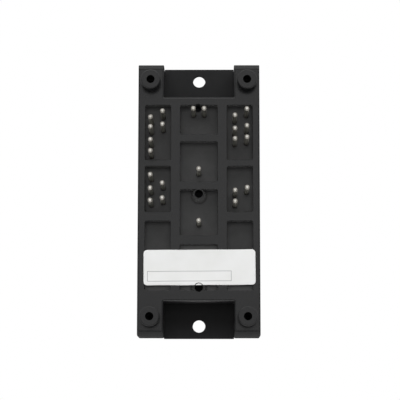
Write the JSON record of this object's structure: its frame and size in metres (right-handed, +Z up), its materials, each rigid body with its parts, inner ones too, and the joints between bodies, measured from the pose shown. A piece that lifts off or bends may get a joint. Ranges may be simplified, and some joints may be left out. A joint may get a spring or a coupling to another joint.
{
  "type": "three phase bridge rectifier module",
  "caption": "Flat black power rectifier module with round solder pins, ribbed open top, four screw bosses for a board and a screw flange at each end.",
  "frame": {"origin": "centre of the copper face that meets the heat sink, which is the bottom centre of the part", "axes": "+Z up out of the terminals, Y along the length with the pins crowded towards +Y, X across"},
  "size_m": [0.0404, 0.0914, 0.0205],
  "materials": {
    "housing": "fine matt moulded thermoplastic",
    "tinned_pin": "bright tin plate on copper",
    "label": "satin white film sticker",
    "copper": "bare rolled copper, slightly oxidised",
    "ceramic": "unglazed white alumina",
    "chip": "metallised silicon",
    "bond_wire": "drawn aluminium wire",
    "gel": "clear soft silicone",
    "adhesive": "cured silicone glue"
  },
  "bodies": {
    "root": {"housing": "housing", "base_copper": "copper", "ceramic_substrate": "ceramic", "adhesive_seal": "adhesive", "silicone_gel": "gel", "label": "label", "track_phase_a": "copper", "track_phase_b": "copper", "track_phase_c": "copper", "track_minus": "copper", "track_plus": "copper", "diode_upper_a": "chip", "diode_upper_b": "chip", "diode_upper_c": "chip", "diode_lower_a": "chip", "diode_lower_b": "chip", "diode_lower_c": "chip", "bond_wires_upper_a": "bond_wire", "bond_wires_upper_b": "bond_wire", "bond_wires_upper_c": "bond_wire", "bond_wires_lower_a": "bond_wire", "bond_wires_lower_b": "bond_wire", "bond_wires_lower_c": "bond_wire", "pin_left_outer_1": "tinned_pin", "pin_left_outer_2": "tinned_pin", "pin_left_outer_3": "tinned_pin", "pin_left_outer_4": "tinned_pin", "pin_left_outer_5": "tinned_pin", "pin_left_outer_6": "tinned_pin", "pin_left_outer_7": "tinned_pin", "pin_left_inner_1": "tinned_pin", "pin_left_inner_2": "tinned_pin", "pin_left_inner_3": "tinned_pin", "pin_left_inner_4": "tinned_pin", "pin_centre_1": "tinned_pin", "pin_centre_2": "tinned_pin", "pin_centre_3": "tinned_pin", "pin_centre_4": "tinned_pin", "pin_right_inner_1": "tinned_pin", "pin_right_inner_2": "tinned_pin", "pin_right_inner_3": "tinned_pin", "pin_right_inner_4": "tinned_pin", "pin_right_inner_5": "tinned_pin", "pin_right_outer_1": "tinned_pin", "pin_right_outer_2": "tinned_pin", "pin_right_outer_3": "tinned_pin", "pin_right_outer_4": "tinned_pin"}
  },
  "joints": []
}
